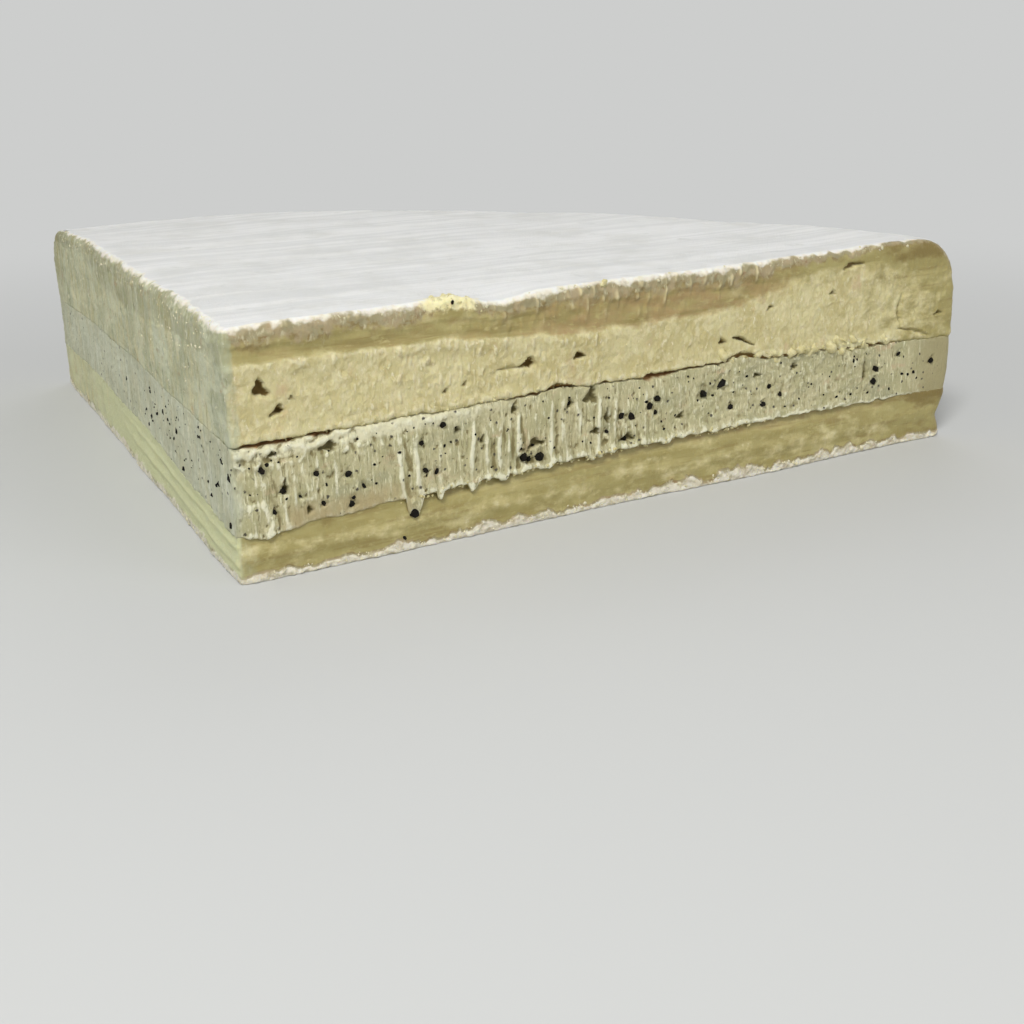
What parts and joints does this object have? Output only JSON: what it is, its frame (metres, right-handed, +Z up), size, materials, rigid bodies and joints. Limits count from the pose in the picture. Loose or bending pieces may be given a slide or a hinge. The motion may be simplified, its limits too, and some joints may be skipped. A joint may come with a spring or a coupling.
{
  "type": "truffle brie wedge",
  "caption": "Wedge of soft white-rinded cheese, split level and filled with a truffle cream layer that shows on both cut faces and round the rim.",
  "frame": {"origin": "middle of the wedge's bounding box, on the surface that it stands on", "axes": "+Z up through the layers, +Y from the tip of the wedge towards the middle of its rim, +X across the wedge"},
  "size_m": [0.1978, 0.145, 0.038],
  "materials": {
    "brie_paste": "soft matt cheese paste, pale ivory yellow, more glassy and darker just under the rind",
    "truffle_cream": "matt off-white cream cheese with fine dark specks",
    "bloomy_rind": "white velvety mould rind with faint rack lines",
    "black_truffle": "matt black chopped truffle"
  },
  "bodies": {
    "root": {"upper_half": "brie_paste", "truffle_cream": "truffle_cream", "lower_half": "brie_paste"}
  },
  "joints": []
}
